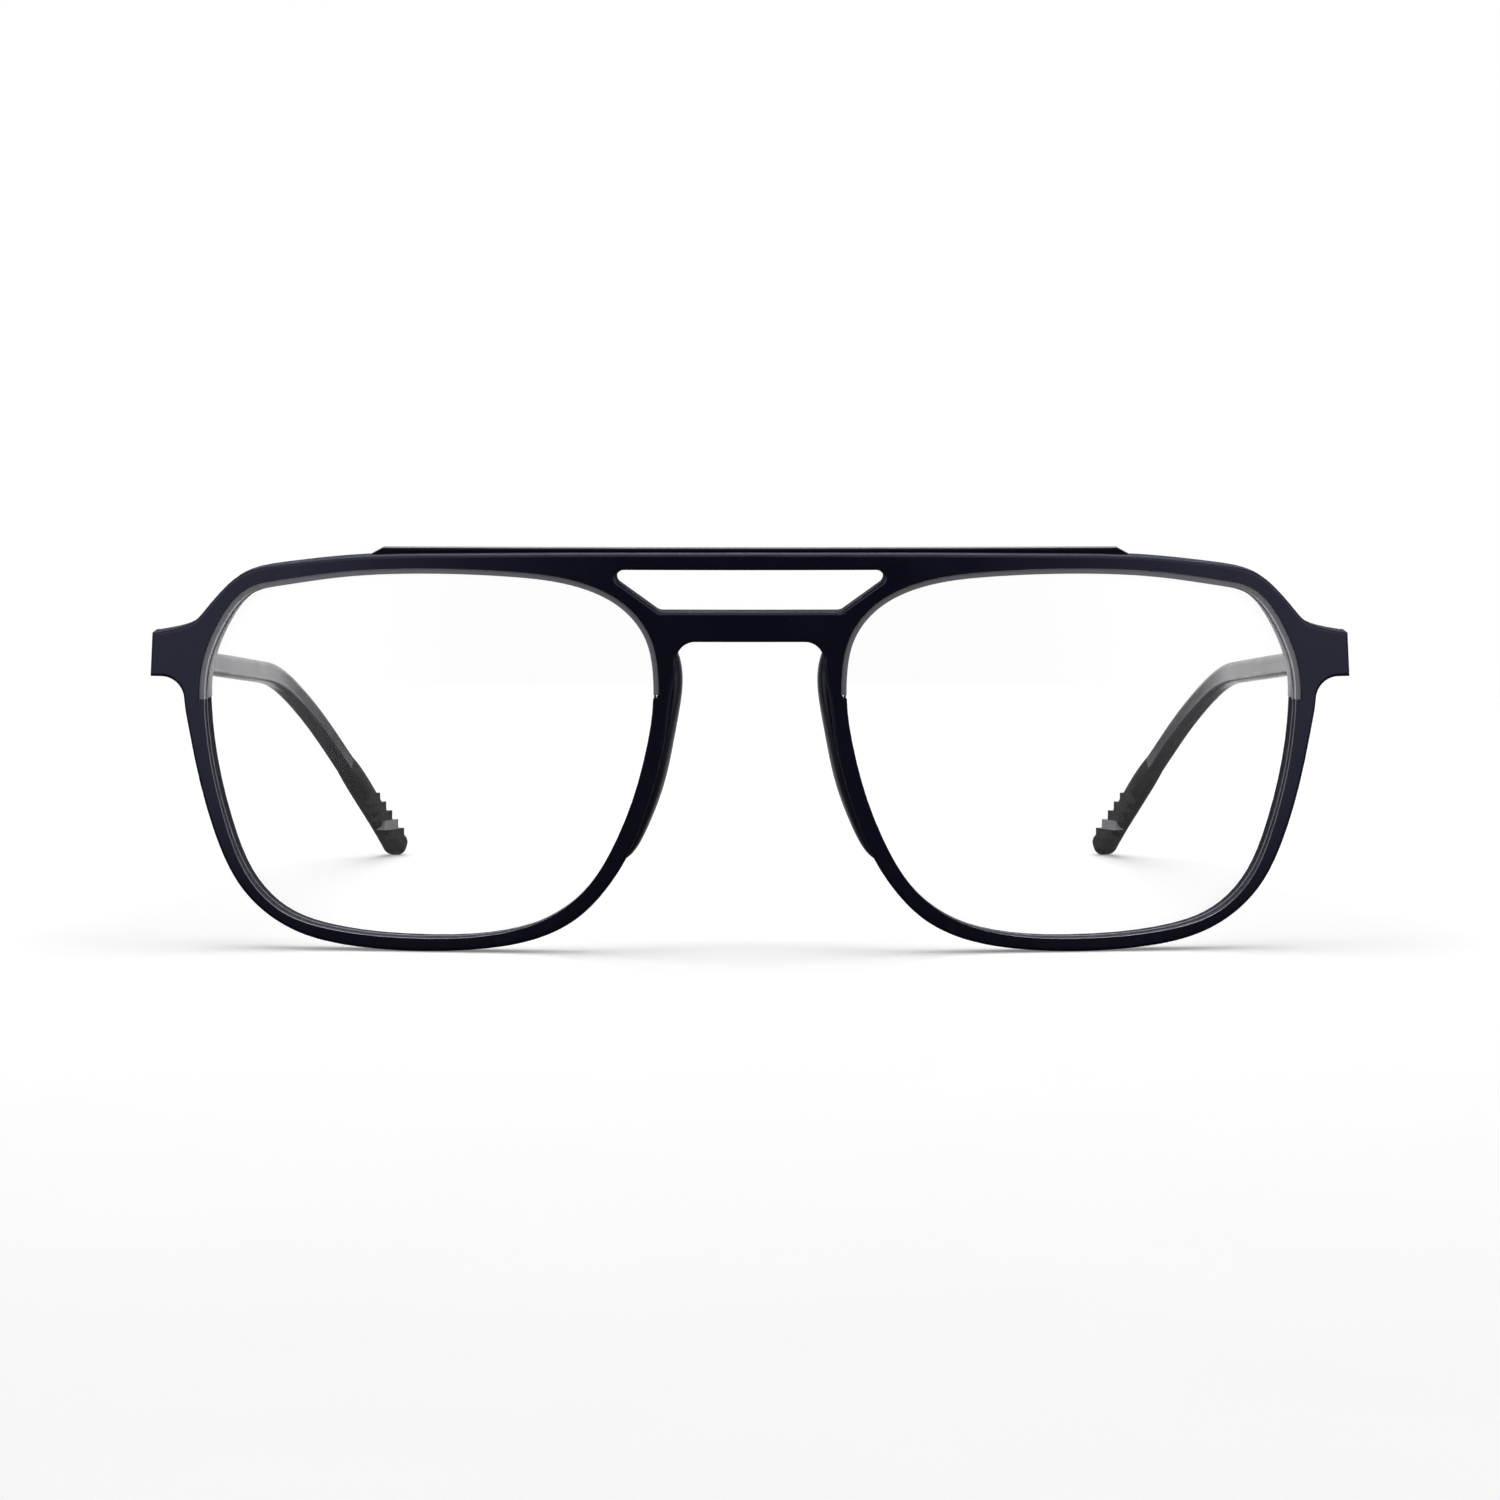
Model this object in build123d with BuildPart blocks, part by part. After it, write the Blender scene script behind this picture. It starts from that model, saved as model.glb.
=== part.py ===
from build123d import *
import os
from math import asin, cos, radians, sin, sqrt

# Clear spectacles with a double bridge, standing on both rims and both temple tips, temples open.
# Millimetres and degrees. X runs across, Y from the front to the temple tips, Z up from the table.
# Sides are the wearer's: left is +X. Each left piece is drawn, and its right twin is its mirror image.

os.makedirs("parts", exist_ok=True)

# Front as a whole: its outer face is part of an upright cylinder that leans forward at the top
front_width = 139.7
front_height = 46.4
front_radius = 265.0
front_lean = 3.0
rim_depth = 4.2
overall_depth = 144.6
edge_round = 0.4
rear_round = 0.3
cut_overrun = 2.0
cut_depth = 18.0
slab_reach = 66.0
seat_gap = 0.03

# Bridges: the window between them is a trapezoid, wider at its top
bridge_underside_share = 0.78017
bridge_flat_width_share = 0.09019
nose_corner_width_share = 0.12097
nose_corner_height_share = 0.7306
window_top_width_share = 0.24452
window_bottom_width_share = 0.14889
window_top_height_share = 0.95797
window_bottom_height_share = 0.85453
window_top_round = 0.85
window_bottom_round = 1.25

# End pieces, which carry the hinges
end_top_height_share = 0.78664
end_bottom_height_share = 0.67672
end_slant = 0.3
end_corner_width_share = 0.98067
end_corner_foot_width_share = 0.94273
end_corner_foot_height_share = 0.62284
lug_inner_width_share = 0.9005
joint_depth = 12.4
butt_gap = 0.1

# Lens openings: the shape is 53 mm wide on a tangent plane of the curved front
lens_width_share = 0.37867
lens_height_share = 0.91272
lens_centre_x_share = 0.26822
lens_centre_height_share = 0.48922
lens_radius = 170.0
lens_thickness = 1.3
lens_setback = 0.45
groove_depth = 0.35

# Smoke grey half rim that lines the upper half of each opening
liner_width = 0.64
liner_recess = 0.2
liner_rear_step = 0.35
liner_nose_height_share = 0.64871
liner_outer_height_share = 0.62069
liner_nose_gap = 0.35

# Brow bar behind the top edge, a little higher than the front itself
bar_setback = 2.0
bar_rear_step = 0.25
bar_foot_drop = 1.3
bar_rise = 0.44
bar_flat_width_share = 0.60558
bar_width_share = 0.63565
bar_end_drop = 0.85
bar_round = 0.25
bar_crown = 0.14
bar_peg_radius = 0.4
bar_peg_length = 1.1
bar_peg_spacing_share = 0.19327
bar_peg_count = 3

# Nose pads: each is a swelling round stack of ellipses, bonded behind the inner rim
pad_half_width = 1.35
pad_half_depth = 4.1
pad_setback = 5.2
pad_splay = 8.0

# Hinges: two knuckles on the front leaf, one on the temple leaf, a screw down the middle
hinge_axis_x_share = 0.46314
hinge_axis_setback = 1.6
hinge_height_share = 0.74246
knuckle_radius = 1.35
knuckle_height = 1.15
middle_knuckle_height = 1.54
knuckle_play = 0.03
washer_thickness = 0.15
washer_radius = 1.25
screw_radius = 0.7
screw_play = 0.05
screw_head_radius = 1.1
screw_head_height = 0.5
screw_head_sink = 0.2
screw_slot_width = 0.28
screw_slot_depth = 0.25
screw_slot_turn = 35.0
leaf_thickness = 0.8
leaf_height = 4.3
front_leaf_inner_reach = 1.2
front_leaf_outer_reach = 3.7
temple_leaf_start = 0.5
temple_leaf_length = 7.8
temple_leaf_height = 2.8
temple_leaf_drop = 0.55
temple_leaf_round = 0.9
temple_face_reach = 1.5
web_width = 1.8
rivet_radius = 0.4
rivet_head_radius = 0.62
rivet_head_height = 0.25
rivet_length = 2.3
rivet_spacing = 1.9
temple_rivet_spacing = 3.2

# Temples: straight side, then one large bend down and inwards behind the ear
temple_start_reach = 3.2
temple_start_drop = 0.75
temple_bend_x_share = 0.4502
temple_bend_depth_share = 0.787
temple_bend_height_share = 0.5766
temple_end_x_share = 0.36793
temple_end_depth_share = 0.97234
temple_end_height = 1.585
temple_bend_radius = 76.0
arm_height = 2.8
arm_thickness = 2.25
arm_round = 0.75
butt_height = 4.9
butt_thickness = 3.4
butt_lift = 0.75
butt_lead = 3.0
taper_length = 30.0

# Temple tips: rubber sleeves over the arm's tongue, with shingled ribs and one light inlay
tip_length = 19.5
tip_dome = 1.65
tip_height = 3.2
tip_seam_thickness = 2.7
tip_waist_thickness = 2.8
tip_thickness = 3.4
tip_lift = 0.05
tip_seam_length = 1.9
tip_round = 1.2
tongue_thickness = 1.1
tongue_height = 1.5
tongue_round = 0.3
tongue_length = 9.0
rib_top_height = 9.4
rib_pitch = 1.36
rib_count = 5
inlay_rib = 3
inlay_depth = 0.3
rib_round = 0.35
rib_far_reach = 1.2
rib_near_reach = 3.2
rib_head_reach = 1.5
rib_head_step = 0.13
rib_root_far = 0.2
rib_root_near = 1.9
rib_root_depth = 0.7

# Sizes that follow from the front's height, its width and the overall depth
bridge_underside = bridge_underside_share * front_height
nose_corner_height = nose_corner_height_share * front_height
window_top_height = window_top_height_share * front_height
window_bottom_height = window_bottom_height_share * front_height
end_top_height = end_top_height_share * front_height
end_bottom_height = end_bottom_height_share * front_height
end_corner_foot_height = end_corner_foot_height_share * front_height
lens_height = lens_height_share * front_height
lens_centre_height = lens_centre_height_share * front_height
liner_nose_height = liner_nose_height_share * front_height
liner_outer_height = liner_outer_height_share * front_height
hinge_height = hinge_height_share * front_height
temple_bend_height = temple_bend_height_share * front_height
bar_foot_height = front_height - bar_foot_drop
bar_top_height = front_height + bar_rise
bar_end_height = front_height - bar_end_drop
temple_start_height = hinge_height - temple_start_drop
bridge_flat_width = bridge_flat_width_share * front_width
nose_corner_width = nose_corner_width_share * front_width
window_top_width = window_top_width_share * front_width
window_bottom_width = window_bottom_width_share * front_width
end_corner_width = end_corner_width_share * front_width
end_corner_foot_width = end_corner_foot_width_share * front_width
lug_inner_width = lug_inner_width_share * front_width
lens_width = lens_width_share * front_width
lens_centre_x = lens_centre_x_share * front_width
bar_flat_width = bar_flat_width_share * front_width
bar_width = bar_width_share * front_width
bar_peg_spacing = bar_peg_spacing_share * front_width
hinge_axis_x = hinge_axis_x_share * front_width
temple_bend_x = temple_bend_x_share * front_width
temple_end_x = temple_end_x_share * front_width
front_leaf_inner_x = hinge_axis_x - front_leaf_inner_reach
front_leaf_outer_x = hinge_axis_x + front_leaf_outer_reach
temple_face_x = hinge_axis_x + temple_face_reach
temple_start_x = hinge_axis_x + temple_start_reach
temple_bend_depth = temple_bend_depth_share * overall_depth
temple_end_depth = temple_end_depth_share * overall_depth
temple_start_depth = joint_depth + butt_gap
half_width = front_width / 2
front_y = -overall_depth / 2 + front_height * sin(radians(front_lean))


def sag(x):
    """How far the curved outer face lies behind its own middle, at a distance x from the centre line."""
    return front_radius - sqrt(front_radius**2 - x**2)


# Planes of the front: lean_floor has X across, Y to the rear and Z up along the leaning front.
# front_plane is its elevation, seen from outside, with Y up.
foot_rise = -sag(lens_centre_x) * sin(radians(front_lean))
lean_floor = Plane(
    origin=(0, front_y, foot_rise),
    x_dir=(1, 0, 0),
    z_dir=(0, -sin(radians(front_lean)), cos(radians(front_lean))),
)
front_plane = Plane(origin=lean_floor.origin, x_dir=(1, 0, 0), z_dir=-lean_floor.y_dir)

# Each lens plane is tangent to the curved front at the lens's centre
lens_turn = asin(lens_centre_x / front_radius)
lens_plane = Plane(
    origin=lean_floor.from_local_coords((lens_centre_x, sag(lens_centre_x), lens_centre_height)),
    x_dir=lean_floor.x_dir * cos(lens_turn) + lean_floor.y_dir * sin(lens_turn),
    z_dir=lean_floor.x_dir * sin(lens_turn) - lean_floor.y_dir * cos(lens_turn),
)

# Outlines as shares, each pair a share of the half width and of the height
top_edge_shares = [
    (0.949, 0.801),
    (0.923, 0.818),
    (0.904, 0.848),
    (0.8745, 0.898),
    (0.846, 0.934),
    (0.820, 0.951),
    (0.769, 0.966),
    (0.663, 0.985),
    (0.493, 0.9945),
    (0.246, 0.999),
    (0, 1),
]
rim_edge_shares = [
    (0.1255, 0.679),
    (0.138, 0.550),
    (0.1546, 0.4375),
    (0.176, 0.3385),
    (0.2033, 0.2425),
    (0.239, 0.1595),
    (0.2906, 0.083),
    (0.359, 0.0335),
    (0.444, 0.0085),
    (0.537, 0),
    (0.6485, 0.007),
    (0.760, 0.045),
    (0.845, 0.142),
    (0.895, 0.293),
    (0.929, 0.494),
    (0.938, 0.5687),
]
lens_shape_shares = [
    (0.500, 0.160),
    (0.497, 0.075),
    (0.484, -0.045),
    (0.450, -0.212),
    (0.400, -0.350),
    (0.325, -0.437),
    (0.215, -0.481),
    (0.020, -0.500),
    (-0.145, -0.487),
    (-0.270, -0.438),
    (-0.352, -0.358),
    (-0.412, -0.240),
    (-0.455, -0.110),
    (-0.485, 0.030),
    (-0.498, 0.130),
    (-0.499, 0.225),
    (-0.483, 0.325),
    (-0.434, 0.406),
    (-0.330, 0.469),
    (-0.190, 0.4935),
    (0.000, 0.500),
    (0.190, 0.4875),
    (0.335, 0.4604),
    (0.388, 0.4428),
    (0.424, 0.407),
    (0.459, 0.343),
    (0.490, 0.252),
]


# Nose pads from the bottom up: height and centre as shares of the front, then the sizes' shares
pad_shares = [
    (0.224, 0.2176, 0.35, 0.30),
    (0.270, 0.1974, 0.75, 0.65),
    (0.345, 0.1787, 0.95, 0.90),
    (0.4525, 0.1568, 1, 1),
    (0.560, 0.1424, 1, 1),
    (0.668, 0.1307, 0.95, 0.85),
    (0.728, 0.1291, 0.70, 0.60),
    (0.7585, 0.1288, 0.30, 0.30),
]

# Rounded end of a tip: how far out each section lies, and how large it is
dome_shares = [(0, 1), (0.30, 0.95), (0.58, 0.82), (0.80, 0.62), (0.94, 0.38)]


def front_outline(plane):
    """Outline of the whole front on a plane: its left half, closed along the centre line, and its mirror."""
    top_points = [(x * half_width, y * front_height) for x, y in top_edge_shares]
    rim_points = [(x * half_width, y * front_height) for x, y in rim_edge_shares]
    nose_corner = (nose_corner_width / 2, nose_corner_height)
    bridge_end = (bridge_flat_width / 2, bridge_underside)
    corner_foot = (end_corner_foot_width / 2, end_corner_foot_height)
    corner_head = (end_corner_width / 2, end_bottom_height)
    end_foot = (half_width, end_bottom_height)
    end_head = (half_width - end_slant, end_top_height)
    with BuildSketch(plane) as outline:
        with BuildLine():
            Line((0, bridge_underside), bridge_end)
            nose_arc = TangentArc(bridge_end, nose_corner, tangent=(1, 0))
            end_arc = TangentArc(corner_head, corner_foot, tangent=(-1, 0))
            Spline(nose_corner, *rim_points, corner_foot, tangents=(nose_arc % 1, -(end_arc % 1)))
            Line(corner_head, end_foot)
            Line(end_foot, end_head)
            Spline(end_head, *top_points)
            Line((0, front_height), (0, bridge_underside))
        make_face()
        mirror(about=Plane.YZ)
    return outline.sketch


def lens_outline(plane, growth):
    """Lens opening on a plane, as one closed curve, grown outwards square to itself."""
    points = [(x * lens_width, y * lens_height) for x, y in lens_shape_shares]
    shape = Spline(points, periodic=True, mode=Mode.PRIVATE)
    grown_points = []
    for point in points:
        along = shape.tangent_at(point)
        grown_points.append(Vector(point) + Vector(-along.Y, along.X) * growth)
    with BuildSketch(plane) as outline:
        with BuildLine():
            Spline(grown_points, periodic=True)
        make_face()
    return outline.sketch


def curved_slab(outer_depth, inner_depth):
    """Upright curved wall between two depths behind the front's outer face."""
    with BuildPart() as slab:
        with BuildSketch(lean_floor.offset(-cut_overrun)):
            with Locations((0, front_radius)):
                Circle(front_radius - outer_depth)
                Circle(front_radius - inner_depth, mode=Mode.SUBTRACT)
            with Locations((0, -cut_overrun)):
                Rectangle(front_width, slab_reach, align=(Align.CENTER, Align.MIN), mode=Mode.INTERSECT)
        extrude(amount=front_height + cut_overrun * 2)
    return slab.part


def lens_shell(play):
    """Part of a sphere's shell that the lens is cut from, thicker by a play on both faces."""
    centre = (0, 0, -lens_radius - lens_setback)
    with BuildPart(lens_plane) as shell:
        with Locations(centre):
            Sphere(lens_radius + play, rotation=(90, 0, 0))
            Sphere(lens_radius - lens_thickness - play, rotation=(90, 0, 0), mode=Mode.SUBTRACT)
    return shell.part


def lens_prism(growth):
    """Lens shape carried through the whole depth of the front, square to the lens plane."""
    with BuildPart() as prism:
        extrude(lens_outline(lens_plane.offset(rim_depth), growth), amount=-cut_depth)
    return prism.part


def other_side(piece):
    """Mirror image for the wearer's right."""
    with BuildPart() as twin:
        mirror(piece.part, about=Plane.YZ)
    return twin


def save(piece, name):
    """Label a finished piece and write its file."""
    piece.part.label = name
    export_step(piece.part, f"parts/{name}.step")


def save_pair(piece, name):
    """Write the left piece as drawn and the right one as its mirror image."""
    save(piece, name + "_left")
    save(other_side(piece), name + "_right")


lens_opening = lens_prism(0)
groove_prism = lens_prism(groove_depth)
liner_prism = lens_prism(liner_width)
groove_shell = lens_shell(seat_gap)

# Lens groove: the grown lens shape within a shell slightly thicker than the lens
with BuildPart() as lens_groove:
    add(groove_prism)
    add(groove_shell, mode=Mode.INTERSECT)


def upper_part(nose_height, outer_height):
    """Everything above two end planes, one on the nose side of the lens and one on the outer side."""
    nose_side = nose_height - lens_centre_height
    outer_side = outer_height - lens_centre_height
    with BuildPart() as block:
        with BuildSketch(lens_plane.offset(rim_depth)):
            with BuildLine():
                Polyline(
                    (-lens_width, nose_side),
                    (0, nose_side),
                    (0, outer_side),
                    (lens_width, outer_side),
                    (lens_width, lens_height),
                    (-lens_width, lens_height),
                    close=True,
                )
            make_face()
        extrude(amount=-cut_depth)
    return block.part


# Pocket for the liner, open at the nose end by a small gap that shows as a light nick
with BuildPart() as liner_pocket:
    add(liner_prism)
    add(upper_part(liner_nose_height - liner_nose_gap, liner_outer_height), mode=Mode.INTERSECT)

# Trapezoid window between the bridges
with BuildPart() as window_cut:
    with BuildSketch(front_plane.offset(cut_overrun)):
        with BuildLine():
            Polyline(
                (-window_top_width / 2, window_top_height),
                (window_top_width / 2, window_top_height),
                (window_bottom_width / 2, window_bottom_height),
                (-window_bottom_width / 2, window_bottom_height),
                close=True,
            )
        make_face()
        fillet(vertices().sort_by(Axis.Y)[-2:], radius=window_top_round)
        fillet(vertices().sort_by(Axis.Y)[:2], radius=window_bottom_round)
    extrude(amount=-cut_depth)


def bar_outline(plane, play):
    """Brow bar seen from the front: flat foot, gently crowned top, ramped ends."""
    with BuildSketch(plane) as outline:
        with BuildLine():
            crown = ThreePointArc(
                (-bar_flat_width / 2, bar_top_height - bar_crown),
                (0, bar_top_height),
                (bar_flat_width / 2, bar_top_height - bar_crown),
            )
            Polyline(
                crown @ 1,
                (bar_width / 2, bar_end_height),
                (bar_width / 2, bar_foot_height),
                (-bar_width / 2, bar_foot_height),
                (-bar_width / 2, bar_end_height),
                crown @ 0,
            )
        make_face()
        if play:
            offset(amount=play)
    return outline.sketch


# End lugs: the end pieces thicken to the rear, up to the upright plane where the temples butt
joint_y = front_y + joint_depth
lug_mid_x = (lug_inner_width / 2 + half_width) / 2
lug_span = half_width - lug_inner_width / 2
joint_plane = Plane(origin=(0, joint_y, 0), x_dir=(1, 0, 0), z_dir=(0, -1, 0))
with BuildPart() as end_lug:
    add(curved_slab(rim_depth / 2, joint_depth * 2))
    extrude(front_outline(front_plane), amount=-joint_depth * 2, mode=Mode.INTERSECT)
    with BuildSketch(front_plane):
        with Locations((lug_mid_x, (end_top_height + end_bottom_height) / 2)):
            Rectangle(lug_span, end_top_height - end_bottom_height)
    extrude(amount=-joint_depth * 2, mode=Mode.INTERSECT)
    split(bisect_by=joint_plane, keep=Keep.TOP)

# Seat of the brow bar behind the top edge, open to the rear and the top
bar_peg_height = (bar_foot_height + bar_end_height) / 2 + bar_round
bar_peg_plane = Plane(
    origin=lean_floor.from_local_coords((0, 0, bar_peg_height)),
    x_dir=(1, 0, 0),
    z_dir=lean_floor.y_dir,
)
bar_peg_reach = (bar_peg_count - 1) * bar_peg_spacing / 2
bar_peg_xs = [place * bar_peg_spacing - bar_peg_reach for place in range(bar_peg_count)]


def bar_pegs(radius, length):
    """Locating pegs of the brow bar, as far ahead of its front face as their length."""
    with BuildPart() as pegs:
        for x in bar_peg_xs:
            start = sag(x) + bar_setback - length
            with BuildSketch(bar_peg_plane.offset(start)):
                with Locations((x, 0)):
                    Circle(radius)
            extrude(amount=length + bar_setback / 2)
    return pegs.part


with BuildPart() as bar_seat:
    add(curved_slab(bar_setback, rim_depth * 2))
    extrude(bar_outline(front_plane, seat_gap), amount=-slab_reach, mode=Mode.INTERSECT)
    add(bar_pegs(bar_peg_radius + seat_gap, bar_peg_length + seat_gap))

# Hinge places: upright axis just behind the butt joint, inside the temple
axis_y = joint_y + hinge_axis_setback
stack_height = middle_knuckle_height + 2 * (knuckle_play + washer_thickness + knuckle_height)
stack_foot = hinge_height - stack_height / 2
stack_top = hinge_height + stack_height / 2


def upright(radius, low, high):
    """Round bar on the hinge axis between two heights."""
    with BuildPart() as bar:
        with BuildSketch(Plane.XY.offset(low)):
            with Locations((hinge_axis_x, axis_y)):
                Circle(radius)
        extrude(amount=high - low)
    return bar.part


def rivet_row(plane, places, grown):
    """Flush rivets that start on a plane and run down into it: a shank and a flat head."""
    with BuildPart() as rivets:
        with BuildSketch(plane):
            with Locations(*places):
                Circle(rivet_head_radius + grown)
        extrude(amount=-rivet_head_height - grown)
        with BuildSketch(plane):
            with Locations(*places):
                Circle(rivet_radius + grown)
        extrude(amount=-rivet_length - grown)
    return rivets.part


# Front leaf lies flush in the lug's rear face
front_leaf_mid_x = (front_leaf_inner_x + front_leaf_outer_x) / 2
front_leaf_width = front_leaf_outer_x - front_leaf_inner_x
front_rivet_x = (temple_face_x + front_leaf_outer_x) / 2
rear_plane = Plane(origin=(0, joint_y, hinge_height), x_dir=(-1, 0, 0), z_dir=(0, 1, 0))
front_rivet_places = [(-front_rivet_x, side * rivet_spacing / 2) for side in (-1, 1)]


def front_leaf_plate(play):
    """Plate let into the lug, grown all round for its pocket."""
    with BuildPart() as plate:
        with BuildSketch(rear_plane):
            with Locations((-front_leaf_mid_x, 0)):
                Rectangle(front_leaf_width + 2 * play, leaf_height + 2 * play)
        extrude(amount=-leaf_thickness - play)
    return plate.part


with BuildPart() as front_leaf_pocket:
    add(front_leaf_plate(seat_gap))
    add(rivet_row(rear_plane, front_rivet_places, seat_gap))

# Left half of every cut in the front, mirrored for the right
with BuildPart() as front_cuts:
    add(lens_opening)
    add(liner_pocket.part)
    add(lens_groove.part)
    mirror(about=Plane.YZ)

# Blank of the front: curved slab with the bridge window and rounded edges
with BuildPart() as front_blank:
    add(curved_slab(0, rim_depth))
    extrude(front_outline(front_plane.offset(cut_overrun)), amount=-slab_reach, mode=Mode.INTERSECT)
    add(window_cut.part, mode=Mode.SUBTRACT)
    outer_face = faces().filter_by(GeomType.CYLINDER).sort_by(Axis.Y)[0]
    fillet(outer_face.edges(), radius=edge_round)
    inner_face = faces().filter_by(GeomType.CYLINDER).sort_by(SortBy.AREA)[-2:].sort_by(Axis.Y)[-1]
    fillet(inner_face.edges(), radius=rear_round)

# Front frame: the blank with end lugs, lens openings, grooves and seats
with BuildPart() as front_frame:
    add(front_blank.part)
    add(end_lug.part)
    mirror(end_lug.part, about=Plane.YZ)
    add(front_cuts.part, mode=Mode.SUBTRACT)
    add(bar_seat.part, mode=Mode.SUBTRACT)
    add(front_leaf_pocket.part, mode=Mode.SUBTRACT)
    mirror(front_leaf_pocket.part, about=Plane.YZ, mode=Mode.SUBTRACT)
save(front_frame, "front_frame")

# Brow bar, with its locating pegs
with BuildPart() as brow_bar:
    add(curved_slab(bar_setback, rim_depth + bar_rear_step))
    extrude(bar_outline(front_plane, 0), amount=-slab_reach, mode=Mode.INTERSECT)
    bar_rear = faces().filter_by(GeomType.CYLINDER).sort_by(SortBy.AREA)[-4:].sort_by(Axis.Y)[-1]
    fillet(bar_rear.edges(), radius=bar_round)
    add(bar_pegs(bar_peg_radius, bar_peg_length))
save(brow_bar, "brow_bar")

# Lens: the grown shape cut from the spherical shell, with an even gap in its groove
with BuildPart() as lens:
    add(lens_prism(groove_depth - seat_gap))
    add(lens_shell(0), mode=Mode.INTERSECT)
save_pair(lens, "lens")

# Rim liner: a strip between the lens opening and its pocket, grooved for the lens
with BuildPart() as rim_liner:
    add(curved_slab(liner_recess, rim_depth + liner_rear_step))
    add(lens_prism(liner_width - seat_gap), mode=Mode.INTERSECT)
    add(upper_part(liner_nose_height, liner_outer_height + seat_gap), mode=Mode.INTERSECT)
    add(lens_opening, mode=Mode.SUBTRACT)
    add(lens_groove.part, mode=Mode.SUBTRACT)
save_pair(rim_liner, "rim_liner")

# Front hinge leaf: plate, two webs and two knuckles with one bore
with BuildPart() as front_hinge:
    add(front_leaf_plate(0))
    for low in (stack_foot, stack_top - knuckle_height):
        with BuildSketch(Plane.XY.offset(low)):
            with Locations((hinge_axis_x, axis_y)):
                Circle(knuckle_radius)
            with Locations((hinge_axis_x, joint_y - leaf_thickness / 2)):
                Rectangle(web_width, hinge_axis_setback + leaf_thickness / 2, align=(Align.CENTER, Align.MIN))
        extrude(amount=knuckle_height)
    add(rivet_row(rear_plane, front_rivet_places, seat_gap), mode=Mode.SUBTRACT)
    screw_bore = upright(screw_radius + screw_play, stack_foot - cut_overrun, stack_top + cut_overrun)
    add(screw_bore, mode=Mode.SUBTRACT)
    sink_low = stack_top - screw_head_sink
    add(upright(screw_head_radius + screw_play, sink_low, stack_top + cut_overrun), mode=Mode.SUBTRACT)
save_pair(front_hinge, "front_hinge")

# Rivets of the front leaf
with BuildPart() as front_hinge_rivets:
    add(rivet_row(rear_plane, front_rivet_places, 0))
save_pair(front_hinge_rivets, "front_hinge_rivets")

# Hinge screw with a slotted head
with BuildPart() as hinge_screw:
    head_low = stack_top - screw_head_sink + seat_gap
    head_high = head_low + screw_head_height
    add(upright(screw_radius, stack_foot, head_high))
    add(upright(screw_head_radius, head_low, head_high))
    with BuildSketch(Plane.XY.offset(head_high)):
        with Locations((hinge_axis_x, axis_y)):
            Rectangle(screw_slot_width, screw_head_radius * 3, rotation=screw_slot_turn)
    extrude(amount=-screw_slot_depth, mode=Mode.SUBTRACT)
save_pair(hinge_screw, "hinge_screw")

# Washers between the knuckles
with BuildPart() as hinge_washers:
    for low in (stack_foot + knuckle_height, stack_top - knuckle_height - washer_thickness):
        add(upright(washer_radius, low, low + washer_thickness))
    add(upright(screw_radius + screw_play, stack_foot, stack_top), mode=Mode.SUBTRACT)
save_pair(hinge_washers, "hinge_washers")

# Nose pads: ellipses that swell and taper up the inner rim, trimmed by the front that they sit on
with BuildPart() as nose_pad:
    for height_share, centre_share, width_share, depth_share in pad_shares:
        centre_x = centre_share * half_width
        with BuildSketch(lean_floor.offset(height_share * front_height)):
            with Locations((centre_x, sag(centre_x) + pad_setback)):
                Ellipse(pad_half_width * width_share, pad_half_depth * depth_share, rotation=-pad_splay)
    loft()
    add(front_blank.part, mode=Mode.SUBTRACT)
    add(liner_pocket.part, mode=Mode.SUBTRACT)
save_pair(nose_pad, "nose_pad")

# Centre line of the left temple: straight side, large bend, straight end
temple_start = Vector(temple_start_x, front_y + temple_start_depth, temple_start_height)
temple_bend = Vector(temple_bend_x, front_y + temple_bend_depth, temple_bend_height)
temple_end = Vector(temple_end_x, front_y + temple_end_depth, temple_end_height)
temple_lead = (temple_start - temple_bend).normalized() * butt_lead
with BuildLine() as temple_line:
    FilletPolyline(temple_start + temple_lead, temple_bend, temple_end, radius=temple_bend_radius)
temple_wire = temple_line.wire()
temple_run = temple_wire.length
seam_run = temple_run - tip_length


def temple_plane(run):
    """Plane square to the centre line after a run along it, with X inwards and Y up."""
    point = temple_wire.position_at(run, position_mode=PositionMode.LENGTH)
    along = temple_wire.tangent_at(run, position_mode=PositionMode.LENGTH)
    return Plane(origin=point, x_dir=Vector(0, 0, 1).cross(along), z_dir=along)


def temple_loft(stations, corner):
    """Rounded bar through sections: each has a run, a thickness, a height and a lift."""
    with BuildPart() as bar:
        for run, thickness, height, lift in stations:
            with BuildSketch(temple_plane(run)):
                with Locations((0, lift)):
                    RectangleRounded(thickness, height, corner)
        loft()
    return bar.part


def tapered(run):
    """Arm section after a run: it eases from the butt's size to the arm's over the taper."""
    share = min(max((run - butt_lead) / taper_length, 0), 1)
    left = 1 - share * share * (3 - 2 * share)
    thickness = arm_thickness + (butt_thickness - arm_thickness) * left
    height = arm_height + (butt_height - arm_height) * left
    return (run, thickness, height, butt_lift * left)


taper_steps = 6
bend_steps = 9
taper_runs = [butt_lead + taper_length * step / taper_steps for step in range(taper_steps + 1)]
bend_span = seam_run - taper_runs[-1]
bend_runs = [taper_runs[-1] + bend_span * (step + 1) / bend_steps for step in range(bend_steps)]
tongue_runs = [seam_run - arm_height, seam_run + tongue_length / 2, seam_run + tongue_length]


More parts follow.
